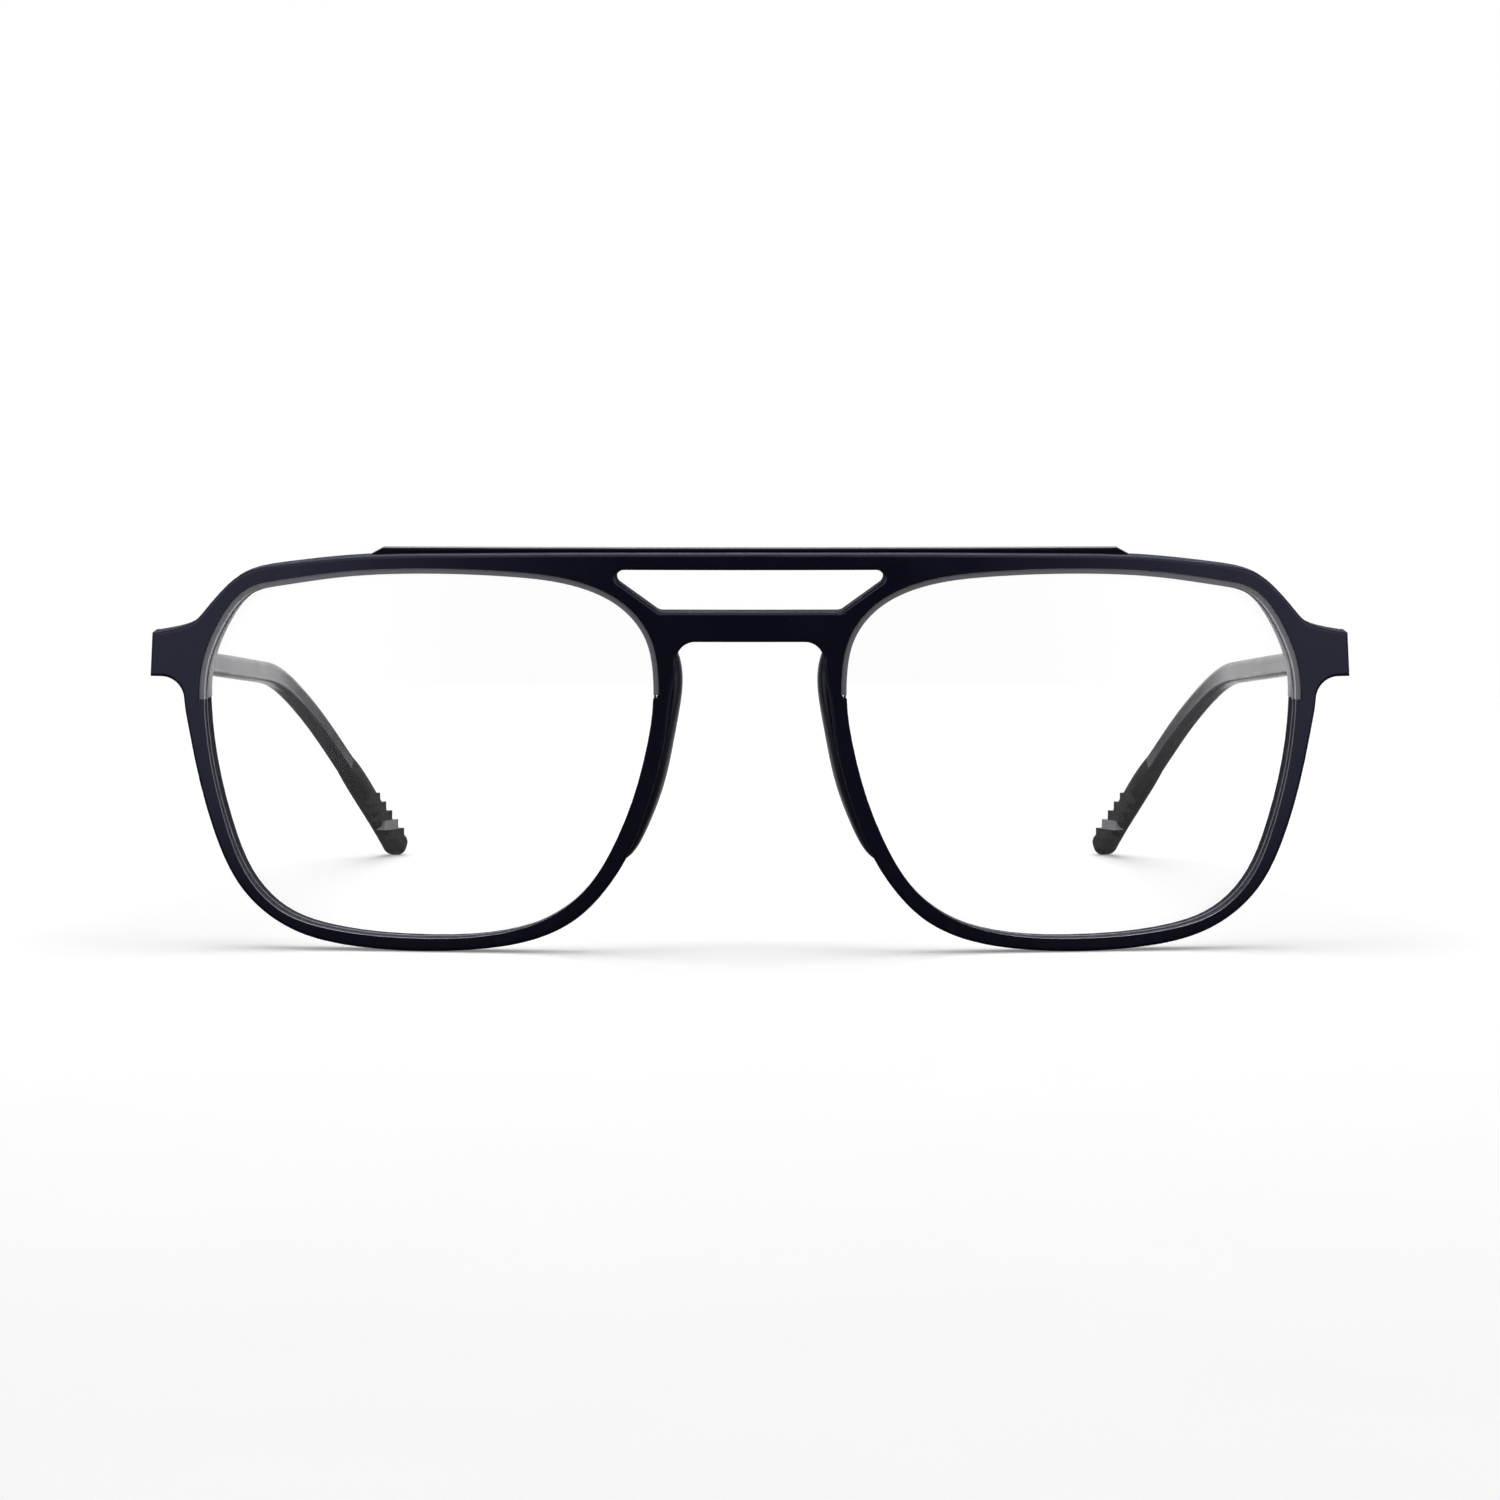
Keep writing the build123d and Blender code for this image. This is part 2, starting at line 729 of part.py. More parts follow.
def tongue(play):
    """Tongue of the arm inside the tip, grown all round for the tip's bore."""
    stations = []
    for run in tongue_runs:
        stations.append((run, tongue_thickness + 2 * play, tongue_height + 2 * play, tip_lift))
    stations[-1] = (tongue_runs[-1] + play,) + stations[-1][1:]
    return temple_loft(stations, tongue_round)


# Temple hinge leaf: plate along the inner face of the temple, web and middle knuckle
face_plane = Plane(origin=(temple_face_x, joint_y, hinge_height), x_dir=(0, 1, 0), z_dir=(1, 0, 0))
leaf_end = temple_leaf_start + temple_leaf_length
middle_low = hinge_height - middle_knuckle_height / 2
middle_high = hinge_height + middle_knuckle_height / 2


def temple_leaf_plate(play):
    """Plate let into the temple, grown all round for its pocket."""
    half_height = temple_leaf_height / 2
    with BuildPart() as plate:
        with BuildSketch(face_plane):
            with BuildLine():
                Polyline(
                    (temple_leaf_start, half_height),
                    (leaf_end, half_height - temple_leaf_drop),
                    (leaf_end, -half_height - temple_leaf_drop),
                    (temple_leaf_start, -half_height),
                    close=True,
                )
            make_face()
            fillet(vertices().sort_by(Axis.X)[-2:], radius=temple_leaf_round)
            if play:
                offset(amount=play)
        extrude(amount=leaf_thickness + play)
    return plate.part


rivet_middle = hinge_axis_setback + knuckle_radius + (leaf_end - hinge_axis_setback - knuckle_radius) / 2
temple_rivet_places = []
for side in (-1, 1):
    along_face = rivet_middle + side * temple_rivet_spacing / 2
    temple_rivet_places.append((along_face, -temple_leaf_drop * along_face / leaf_end))
inner_face_plane = Plane(origin=face_plane.origin, x_dir=(0, -1, 0), z_dir=(-1, 0, 0))
temple_rivet_spots = [(-place[0], place[1]) for place in temple_rivet_places]

with BuildPart() as temple_leaf_pocket:
    add(temple_leaf_plate(seat_gap))
    add(rivet_row(inner_face_plane, temple_rivet_spots, seat_gap))
    with BuildSketch(face_plane):
        with Locations((temple_leaf_start, 0)):
            Rectangle(leaf_end * 2, butt_height * 2, align=(Align.MIN, Align.CENTER))
    extrude(amount=-butt_thickness)

# Temple arm: tapered bar from the butt joint to the tip's seam, then the tongue
with BuildPart() as temple_arm:
    add(temple_loft([tapered(run) for run in [0] + taper_runs + bend_runs], arm_round))
    add(tongue(0))
    split(bisect_by=joint_plane.offset(-butt_gap), keep=Keep.BOTTOM)
    add(temple_leaf_pocket.part, mode=Mode.SUBTRACT)
save_pair(temple_arm, "temple_arm")

with BuildPart() as temple_hinge:
    add(temple_leaf_plate(0))
    add(upright(knuckle_radius, middle_low, middle_high))
    with BuildSketch(Plane.XY.offset(middle_low)):
        with Locations((hinge_axis_x, axis_y)):
            web_length = temple_face_x - hinge_axis_x + leaf_thickness / 2
            Rectangle(web_length, web_width, align=(Align.MIN, Align.CENTER))
    extrude(amount=middle_knuckle_height)
    add(rivet_row(inner_face_plane, temple_rivet_spots, seat_gap), mode=Mode.SUBTRACT)
    add(upright(screw_radius + screw_play, stack_foot, stack_top), mode=Mode.SUBTRACT)
save_pair(temple_hinge, "temple_hinge")

with BuildPart() as temple_hinge_rivets:
    add(rivet_row(inner_face_plane, temple_rivet_spots, 0))
save_pair(temple_hinge_rivets, "temple_hinge_rivets")

# Temple tip: smooth core that swells towards the head, with a domed end, before its ribs
tip_stations = [
    (seam_run + tip_seam_length, tip_seam_thickness),
    (seam_run + tip_length / 2, tip_waist_thickness),
    (temple_run, tip_thickness),
]
with BuildPart() as tip_core:
    with BuildSketch(temple_plane(seam_run)):
        RectangleRounded(arm_thickness, arm_height, arm_round)
    for run, thickness in tip_stations:
        with BuildSketch(temple_plane(run)):
            with Locations(((thickness - tip_seam_thickness) / 2, tip_lift)):
                RectangleRounded(thickness, tip_height, tip_round)
    loft()
    for near, far in zip(dome_shares[:-1], dome_shares[1:]):
        for reach, size in (near, far):
            with BuildSketch(temple_plane(temple_run).offset(reach * tip_dome)):
                with Locations(((tip_thickness - tip_seam_thickness) / 2, tip_lift)):
                    RectangleRounded(tip_thickness * size, tip_height * size, tip_round * size)
        loft(ruled=True)

# Straight end of the centre line, for the places of the ribs
end_rise = temple_bend - temple_end
level_run = Vector(end_rise.X, end_rise.Y, 0).normalized()


def rib_floor(index):
    """Level plane at a rib's foot, with X along the temple towards the front and Y away from the head."""
    foot = rib_top_height - rib_pitch * (index + 1)
    centre = temple_end + end_rise * ((foot - temple_end.Z) / end_rise.Z)
    return Plane(origin=centre, x_dir=level_run, z_dir=(0, 0, 1))


def rib(index):
    """Shingled rib: an upright block that stands proud towards the head and runs out on the other side."""
    head_reach = rib_head_reach + rib_head_step * index
    with BuildPart() as shingle:
        with BuildSketch(rib_floor(index)):
            with BuildLine():
                Polyline(
                    (-rib_far_reach, -head_reach),
                    (rib_near_reach, -head_reach),
                    (rib_root_near, rib_root_depth),
                    (-rib_root_far, rib_root_depth),
                    close=True,
                )
            make_face()
            fillet(vertices(), radius=rib_round)
        extrude(amount=rib_pitch)
    return shingle.part


inlay_floor = rib_floor(inlay_rib)
inlay_back = Plane(
    origin=inlay_floor.from_local_coords((0, inlay_depth, 0)),
    x_dir=inlay_floor.x_dir,
    z_dir=inlay_floor.y_dir,
)
with BuildPart() as tip_inlay:
    add(rib(inlay_rib))
    split(bisect_by=inlay_back, keep=Keep.BOTTOM)
save_pair(tip_inlay, "tip_inlay")

with BuildPart() as temple_tip:
    add(tip_core.part)
    for index in range(rib_count):
        add(rib(index))
    add(tip_inlay.part, mode=Mode.SUBTRACT)
    add(tongue(seat_gap), mode=Mode.SUBTRACT)
save_pair(temple_tip, "temple_tip")
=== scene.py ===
# %% [markdown]
# # Double bridge glasses
# These are clear spectacles with a moulded front, a second bridge above the first and two
# temples that fold. The solids come in from the construction model. This notebook gives every
# piece its finish, adds the fine trim that only shows close up, and lights the result.

# %% Load the construction model
import bpy
import math
import numpy as np
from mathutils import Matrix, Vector


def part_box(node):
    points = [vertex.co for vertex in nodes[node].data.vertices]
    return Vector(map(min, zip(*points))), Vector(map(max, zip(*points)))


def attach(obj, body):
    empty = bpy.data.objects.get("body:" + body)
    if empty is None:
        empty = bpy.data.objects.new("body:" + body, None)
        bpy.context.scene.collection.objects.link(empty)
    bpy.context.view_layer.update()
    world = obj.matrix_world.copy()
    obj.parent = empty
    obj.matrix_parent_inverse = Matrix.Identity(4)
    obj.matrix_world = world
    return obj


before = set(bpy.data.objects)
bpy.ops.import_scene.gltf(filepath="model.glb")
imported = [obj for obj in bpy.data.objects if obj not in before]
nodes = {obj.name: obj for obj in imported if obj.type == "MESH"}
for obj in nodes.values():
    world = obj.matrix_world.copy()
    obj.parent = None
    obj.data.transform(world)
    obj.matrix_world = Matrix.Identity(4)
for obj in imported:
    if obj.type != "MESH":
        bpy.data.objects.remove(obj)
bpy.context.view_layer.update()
scene = bpy.context.scene

# %% [markdown]
# ## Working sizes
# The front is a slice of an upright cylinder that leans forward by three degrees, so one short
# formula turns a place on the front into a place in the room. Every later step that follows
# the front uses it, in metres.

# %% Sizes of the front
MM = 0.001
HALF_DEPTH = 72.3 * MM
FRONT_HIGH = 46.4 * MM
LEAN = math.radians(3.0)
FRONT_RADIUS = 265.0 * MM
FRONT_Y = -HALF_DEPTH + FRONT_HIGH * math.sin(LEAN)
LENS_X, LENS_UP = 37.47 * MM, 22.7 * MM


def sag(x):
    """Depth of the curved front behind its middle: radius minus root(radius squared - x squared)."""
    return FRONT_RADIUS - np.sqrt(FRONT_RADIUS ** 2 - np.asarray(x, float) ** 2)


FOOT_RISE = -float(sag(LENS_X)) * math.sin(LEAN)
print("front plane starts at y =", round(FRONT_Y, 5), "foot rise", round(FOOT_RISE, 6))

# %% [markdown]
# ## A small kit for materials
# A material here is a chain of nodes: a place on the object goes into a pattern, the pattern
# into a number, and the number into the shader. A few helpers keep the recipes short. The first
# ones add a node, do one sum and start a material from plain numbers.

# %% Nodes and materials
def add_node(tree, kind, inputs=None, **settings):
    """Add a node; each input takes a number, a colour or another node's output."""
    made = tree.nodes.new(kind)
    for key, value in settings.items():
        setattr(made, key, value)
    for key, value in (inputs or {}).items():
        if isinstance(value, bpy.types.NodeSocket):
            tree.links.new(value, made.inputs[key])
        else:
            made.inputs[key].default_value = value
    return made


def reckon(tree, operation, *values):
    """One sum on numbers or on other nodes' outputs."""
    return add_node(tree, "ShaderNodeMath", dict(enumerate(values)), operation=operation).outputs[0]


def start_material(name, **plain):
    """New material whose shader starts from plain numbers on its own sockets."""
    made = bpy.data.materials.new(name)
    made.use_nodes = True
    tree = made.node_tree
    shader = tree.nodes["Principled BSDF"]
    for key, value in plain.items():
        shader.inputs[key.replace("_", " ")].default_value = value
    place = add_node(tree, "ShaderNodeTexCoord").outputs["Object"]
    print("material", name)
    return made, tree, shader, place


# %% [markdown]
# The other helpers make patterns: a noise, a map from one range to another, a blend of two
# colours, a ramp through several, and a bump. The last one puts a finished material on solids.
# A mix node has several sockets of one name, so its sockets are called by number.

# %% Patterns and finishes
MIX_COLOURS, MIX_COLOUR = (6, 7), 2
MIX_NUMBERS = (2, 3)


def spread(tree, value, low, high, source=(0.3, 0.7)):
    """Map a pattern's values onto the range from low to high."""
    return add_node(tree, "ShaderNodeMapRange", {
        "Value": value, "From Min": source[0], "From Max": source[1],
        "To Min": low, "To Max": high}).outputs["Result"]


def noise(tree, place, scale, detail=2.0, stretch=(1, 1, 1)):
    """Cloudy pattern; the stretch squeezes it along each axis for brushed and drawn finishes."""
    squeezed = add_node(tree, "ShaderNodeMapping", {"Vector": place, "Scale": stretch}).outputs[0]
    return add_node(tree, "ShaderNodeTexNoise", {
        "Vector": squeezed, "Scale": scale, "Detail": detail}).outputs["Fac"]


def blend_colours(tree, fraction, first, second):
    """Blend two colours by a pattern."""
    mix = add_node(tree, "ShaderNodeMix", data_type="RGBA")
    tree.links.new(fraction, mix.inputs["Factor"])
    for socket, colour in zip(MIX_COLOURS, (first, second)):
        mix.inputs[socket].default_value = (*colour, 1)
    return mix.outputs[MIX_COLOUR]


def tone_ramp(tree, value, stops):
    """Colour for a value from 0 to 1, by stops that each give a position and a colour."""
    ramp = add_node(tree, "ShaderNodeValToRGB", {"Fac": value})
    elements = ramp.color_ramp.elements
    for element, (position, colour) in ((elements[0], stops[0]), (elements[1], stops[-1])):
        element.position, element.color = position, (*colour, 1)
    for position, colour in stops[1:-1]:
        elements.new(position).color = (*colour, 1)
    return ramp.outputs["Color"]


def greys(*stops):
    """Stops of a ramp, from pairs of a position and a grey tone."""
    return [(position, (tone, tone, tone)) for position, tone in stops]


def emboss(tree, shader, height, distance):
    """Raise the surface by a pattern, a few thousandths of a millimetre high."""
    bump = add_node(tree, "ShaderNodeBump", {"Height": height, "Distance": distance})
    tree.links.new(bump.outputs["Normal"], shader.inputs["Normal"])


def finish_with(material, *names):
    """Give a material to solids by name, on both sides where the name ends in an underscore."""
    for name in names:
        sides = [name + "left", name + "right"] if name.endswith("_") else [name]
        for each in sides:
            slots = nodes[each].data.materials
            slots.clear()
            slots.append(material)
            print("finish", material.name, "->", each)


# %% [markdown]
# ## Navy black moulding
# The front, the temples and the nose pads are one dark plastic: nearly black with a little
# blue, tumbled to a satin. Its colour hardly varies, so the life is in the gloss. A broad cloud
# moves the roughness a little, as tumbling does, and a very fine grain breaks the reflections.
# The cut sides of the front are duller than its face. A formula for the depth behind the face
# lets the roughness grow there.

# %% Depth behind the front
def depth_behind_front(tree, place):
    """Depth of a point behind the leaning, curved outer face.

    Along the lean the depth is (y - front) cos(lean) + (z - foot) sin(lean). The curve's own sag
    at x, radius minus root(radius squared - x squared), is taken off.
    """
    x, y, z = add_node(tree, "ShaderNodeSeparateXYZ", {0: place}).outputs
    back = reckon(tree, "MULTIPLY", reckon(tree, "SUBTRACT", y, FRONT_Y), math.cos(LEAN))
    up = reckon(tree, "MULTIPLY", reckon(tree, "SUBTRACT", z, FOOT_RISE), math.sin(LEAN))
    flat = reckon(tree, "ADD", back, up)
    inside = reckon(tree, "SUBTRACT", FRONT_RADIUS ** 2, reckon(tree, "MULTIPLY", x, x))
    curve = reckon(tree, "SUBTRACT", FRONT_RADIUS, reckon(tree, "SQRT", inside))
    return reckon(tree, "SUBTRACT", flat, curve)


# %% Satin plastic
CUT_ZONE = (0.1 * MM, 0.5 * MM)
ROUGHNESS_SWING = 0.03


def satin_plastic(name, dark, light, rough, gloss=0.35, grain=1.2e-6, cut_rough=None, **plain):
    """Dark moulded plastic: clouded colour between two tones, clouded gloss and a fine grain.

    With a cut roughness given, the gloss falls off over the first half millimetre behind the
    front face, as the cut sides of a front are duller than its tumbled face.
    """
    material, tree, shader, place = start_material(
        name, IOR=1.48, Specular_IOR_Level=gloss, Specular_Tint=(0.64, 0.69, 1.0, 1), **plain)
    cloud = noise(tree, place, scale=55.0, detail=3.0)
    haze = noise(tree, place, scale=160.0, detail=3.0)
    speck = noise(tree, place, scale=5200.0)
    tree.links.new(blend_colours(tree, spread(tree, cloud, 0, 1), dark, light),
                   shader.inputs["Base Color"])
    dull = spread(tree, haze, rough - ROUGHNESS_SWING, rough + ROUGHNESS_SWING)
    if cut_rough is not None:
        cut = spread(tree, depth_behind_front(tree, place), 0, cut_rough - rough, CUT_ZONE)
        dull = reckon(tree, "ADD", dull, cut)
    tree.links.new(dull, shader.inputs["Roughness"])
    emboss(tree, shader, speck, grain)
    return material


# %% Front, temples and pads
front_satin = satin_plastic(
    "navy_satin_front", dark=(0.0030, 0.0032, 0.0100), light=(0.0055, 0.0057, 0.0160),
    rough=0.26, gloss=0.56, cut_rough=0.85)
temple_satin = satin_plastic(
    "navy_satin_temple", dark=(0.0030, 0.0030, 0.0100), light=(0.0052, 0.0052, 0.0160),
    rough=0.20, grain=0.4e-6)
# The pads' copy of the plastic has lighter tones than the front's: painted light for edges that catch
# light at a glancing angle.
pad_satin_painted_light = satin_plastic(
    "navy_satin_pad_painted_light", dark=(0.0100, 0.0100, 0.0150), light=(0.0150, 0.0150, 0.0210),
    rough=0.40, gloss=0.5, Sheen_Weight=0.6, Sheen_Roughness=0.3)
finish_with(front_satin, "front_frame")
finish_with(temple_satin, "temple_arm_")
finish_with(pad_satin_painted_light, "nose_pad_")

# %% [markdown]
# ## Brow bar
# The bar behind the top edge is blacker and less glossy than the front, which lets the front's
# thin top line stand apart. The same recipe serves, with darker tones and less gloss.

# %% Brow bar
bar_black = satin_plastic(
    "brow_bar_black", dark=(0.0022, 0.0022, 0.0028), light=(0.0045, 0.0045, 0.0055),
    rough=0.30, gloss=0.15)
finish_with(bar_black, "brow_bar")

# %% [markdown]
# ## Smoke liner
# A half rim of smoked grey plastic lines the upper part of each opening. Its tone is painted by
# depth: painted shade darkens its front lip, and painted light makes its rear edge pale, where
# light comes in from behind. The recipe measures how deep a point lies behind the curved front,
# and lets that depth choose the tone.

# %% Smoke liner
LINER_DEPTH = 4.6 * MM
LINER_BLUE = 1.12
liner_smoke_painted_light, tree, shader, place = start_material(
    "smoke_liner_painted_light", Roughness=0.28, IOR=1.49, Transmission_Weight=0.12)
share = spread(tree, depth_behind_front(tree, place), 0, 1, (0.0, LINER_DEPTH))
# Painted light and shade: the grey is darker at the front lip and pale towards the rear edge, where
# light comes in from behind.
painted_light_stops = ((0.10, 0.36), (0.17, 0.35), (0.24, 0.32), (0.70, 0.42), (0.88, 0.60))
smoke_and_painted_light = tone_ramp(tree, share, [
    (0.0, (0.34, 0.34, 0.37)),
    *((position, (tone, tone, tone * LINER_BLUE)) for position, tone in painted_light_stops),
    (1.0, (0.66, 0.66, 0.69))])
tree.links.new(smoke_and_painted_light, shader.inputs["Base Color"])
emboss(tree, shader, noise(tree, place, scale=3800.0), 1.2e-6)
finish_with(liner_smoke_painted_light, "rim_liner_")

# %% [markdown]
# ## Clear lenses
# The lenses are plain clear blanks. A glass shader on the real wall thickness bends the light.
# Its index is a little under that of lens plastic, which keeps mirrored light as faint as on a
# coated lens. Shadow rays pass straight through, as hardly any light is lost.

# %% Lens
lens_clear, tree, shader, place = start_material(
    "clear_lens", Roughness=0.0, IOR=1.35, Transmission_Weight=1.0, Base_Color=(1, 1, 1, 1))
smudge = noise(tree, place, scale=90.0, detail=3.0)
tree.links.new(spread(tree, smudge, 0.0, 0.012), shader.inputs["Roughness"])
rays = add_node(tree, "ShaderNodeLightPath").outputs
passing = add_node(tree, "ShaderNodeBsdfTransparent", {"Color": (1, 1, 1, 1)}).outputs[0]
mixed = add_node(tree, "ShaderNodeMixShader", {
    0: rays["Is Shadow Ray"], 1: shader.outputs[0], 2: passing})
tree.links.new(mixed.outputs[0], tree.nodes["Material Output"].inputs["Surface"])
finish_with(lens_clear, "lens_")

# %% [markdown]
# ## Lens edge
# Where a lens meets its rim, a hairline bead with a painted highlight stands for the cut edge
# catching the light, and bands in painted shade stand for the ground side of the edge behind it.
# These are real forms that follow the curve from every side: profiles carried along the lens
# outline, laid on its domed face. The first step is the outline itself, a smooth curve through a
# few points in shares of the lens size.

# %% Lens outline
LENS_WIDE, LENS_HIGH, LENS_RADIUS, LENS_SETBACK = 52.9 * MM, 42.35 * MM, 170 * MM, 0.45 * MM
outline_shares = np.array([
    (0.500, 0.160), (0.497, 0.075), (0.484, -0.045), (0.450, -0.212), (0.400, -0.350),
    (0.325, -0.437), (0.215, -0.481), (0.020, -0.500), (-0.145, -0.487), (-0.270, -0.438),
    (-0.352, -0.358), (-0.412, -0.240), (-0.455, -0.110), (-0.485, 0.030), (-0.498, 0.130),
    (-0.499, 0.225), (-0.483, 0.325), (-0.434, 0.406), (-0.330, 0.469), (-0.190, 0.4935),
    (0.000, 0.500), (0.190, 0.4875), (0.335, 0.4604), (0.388, 0.4428), (0.424, 0.407),
    (0.459, 0.343), (0.490, 0.252)])
print("lens outline from", len(outline_shares), "points")


# %% Smooth closed curve
def closed_spline(points, count):
    """Smooth closed curve through points, and its direction, at evenly spread parameters.

    Between two points the curve is a cubic in the chord length. The slopes at the points solve
    one linear system, which says that the bending is continuous all the way round.
    """
    ahead = np.roll(points, -1, axis=0)
    step = np.linalg.norm(ahead - points, axis=1)
    before = np.roll(step, 1)
    size = len(points)
    row = np.arange(size)
    system = np.zeros((size, size))
    system[row, row - 1] = 1 / before
    system[row, row] = 2 / before + 2 / step
    system[row, (row + 1) % size] = 1 / step
    rise = (ahead - points) / step[:, None] ** 2
    slope = np.linalg.solve(system, 3 * (rise + np.roll(rise, 1, axis=0)))
    knots = np.concatenate([[0], np.cumsum(step)])
    along = np.linspace(0, knots[-1], count, endpoint=False)
    piece = np.searchsorted(knots, along, side="right") - 1
    h = step[piece][:, None]
    t = ((along - knots[piece]) / step[piece])[:, None]
    p, q = points[piece], ahead[piece]
    m, n = slope[piece] * h, np.roll(slope, -1, axis=0)[piece] * h
    place = p + m * t + (3 * (q - p) - 2 * m - n) * t ** 2 + (2 * (p - q) + m + n) * t ** 3
    heading = (m + 2 * (3 * (q - p) - 2 * m - n) * t + 3 * (2 * (p - q) + m + n) * t ** 2) / h
    return place, heading / np.linalg.norm(heading, axis=1)[:, None]


# %% [markdown]
# The lens stands on the leaning, curved front, so it has its own plane. Three directions of that
# plane and its centre turn a place on the lens into a place in the room.

# %% From the lens plane to the room
LEAN_ACROSS = np.array([1.0, 0.0, 0.0])
LEAN_BACK = np.array([0.0, math.cos(LEAN), math.sin(LEAN)])
LEAN_UP = np.array([0.0, -math.sin(LEAN), math.cos(LEAN)])
LENS_TURN = math.asin(LENS_X / FRONT_RADIUS)
LENS_PLACE = (np.array([0, FRONT_Y, FOOT_RISE]) + LENS_X * LEAN_ACROSS
              + float(sag(LENS_X)) * LEAN_BACK + LENS_UP * LEAN_UP)
LENS_ACROSS = math.cos(LENS_TURN) * LEAN_ACROSS + math.sin(LENS_TURN) * LEAN_BACK
LENS_OUT = math.sin(LENS_TURN) * LEAN_ACROSS - math.cos(LENS_TURN) * LEAN_BACK
print("lens centre", LENS_PLACE.round(5), "turned by", round(math.degrees(LENS_TURN), 2), "degrees")


def lens_to_room(u, v, w):
    """Room place = lens centre + u across + v up + w outwards, for whole arrays at once."""
    return LENS_PLACE + u[..., None] * LENS_ACROSS + v[..., None] * LEAN_UP + w[..., None] * LENS_OUT


# %% Mesh from rings
def mesh_from_rings(name, grid, loop=True):
    """Mesh from a grid of rings, each joined to the next.

    A point's number is its ring times the points of a ring, plus its place in the ring. A loop
    ends where it starts, and a strip gets two caps.
    """
    rings, points = grid.shape[:2]
    starts = np.arange(rings if loop else rings - 1)[:, None] * points
    nexts = (starts + points) % (rings * points)
    here = np.arange(points)[None, :]
    beside = (here + 1) % points
    corners = (starts + here, nexts + here, nexts + beside, starts + beside)
    quads = np.stack(corners, axis=-1).reshape(-1, 4)
    faces = quads.tolist()
    if not loop:
        faces += [list(range(points)), list(range(rings * points - 1, (rings - 1) * points - 1, -1))]
    places = grid.reshape(-1, 3)
    first, second, third = places[quads[:, 0]], places[quads[:, 1]], places[quads[:, 2]]
    middle = np.repeat(grid.mean(axis=1), points, axis=0)[:len(quads)]
    if np.einsum("ij,ij->i", np.cross(second - first, third - first), first - middle).sum() < 0:
        faces = [face[::-1] for face in faces]
    mesh = bpy.data.meshes.new(name)
    mesh.from_pydata(places.tolist(), [], faces)
    mesh.polygons.foreach_set("use_smooth", np.full(len(faces), loop))
    mesh.update()
    made = bpy.data.objects.new(name, mesh)
    scene.collection.objects.link(made)
    print("surface", name, len(faces), "faces")
    return made


# %% [markdown]
# A profile is a small closed shape. At each place on the outline it is drawn across the curve,
# which makes one ring, and the rings are joined. The liner ends a little above the middle of
# the lens, so a profile can also follow only the lower or the upper part of the outline.

# %% Profiles carried along the lens edge
LINER_END = 0.135 * LENS_HIGH


def along_lens_edge(name, side, profile, part=None, rings=420):
    """Carry a closed profile round the lens, or round its lower or upper part.

    A profile point is a step inwards from the outline and a step out of the front face. The face
    is a sphere, so it lies radius minus root(radius squared - r squared) behind its own middle.
    The parts meet at the ends of the liner.
    """
    place, heading = closed_spline(outline_shares * (LENS_WIDE, LENS_HIGH), rings)
    inwards = np.stack([heading[:, 1], -heading[:, 0]], axis=1)
    inwards *= -np.sign((inwards * place).sum())
    if part:
        kept = (place[:, 1] < LINER_END) == (part == "lower")
        start = np.flatnonzero(kept & ~np.roll(kept, 1))[0]
        place, inwards, kept = (np.roll(rows, -start, axis=0) for rows in (place, inwards, kept))
        place, inwards = place[kept], inwards[kept]
    profile = np.asarray(profile)
    flat = place[:, None] + inwards[:, None] * profile[None, :, :1]
    u, v = flat[..., 0], flat[..., 1]
    dome = -LENS_SETBACK - (LENS_RADIUS - np.sqrt(LENS_RADIUS ** 2 - u ** 2 - v ** 2))
    grid = lens_to_room(u, v, dome + profile[None, :, 1])
    grid[..., 0] *= side
    made = mesh_from_rings(name, grid, loop=part is None)
    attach(made, "front")
    return made


# %% [markdown]
# The bead is the polished corner of the edge, given a painted highlight: its pale tone stands
# for the light it catches, and a mottled tone keeps its line of light from being even. The ground
# side behind it is matt, in painted shade: it takes the dark of the rim below, and the grey of
# the liner above.

# %% Polished and ground edge
# Painted highlight: a pale, mottled base colour stands for the light caught by the polished corner of
# the edge.
edge_painted_highlight, tree, shader, place = start_material(
    "painted_highlight_lens_edge", Roughness=0.3, IOR=1.5, Transmission_Weight=0.15)
painted_glint_mottle = spread(tree, noise(tree, place, scale=900.0), 0, 1)
painted_glint_tones = blend_colours(tree, painted_glint_mottle, (0.52, 0.53, 0.56), (0.72, 0.73, 0.76))
tree.links.new(painted_glint_tones, shader.inputs["Base Color"])


def ground_edge(name, dark, light):
    """Ground lens edge: a matt tone, mottled by the grinding."""
    material, tree, shader, place = start_material(name, Roughness=0.75, Specular_IOR_Level=0.1)
    ground = spread(tree, noise(tree, place, scale=2200.0, detail=3.0), 0, 1)
    tree.links.new(blend_colours(tree, ground, dark, light), shader.inputs["Base Color"])
    emboss(tree, shader, ground, 3e-6)
    return material


# Both tones are painted: the lower band takes the dark shade of the rim's groove, the upper band the
# grey of the liner around it.
ground_edge_painted_shades = {"lower": ground_edge("ground_edge_painted_rim_shade", (0.004, 0.004, 0.006), (0.012, 0.012, 0.015)),
                "upper": ground_edge("ground_edge_painted_liner_tone", (0.24, 0.24, 0.26), (0.32, 0.32, 0.34))}

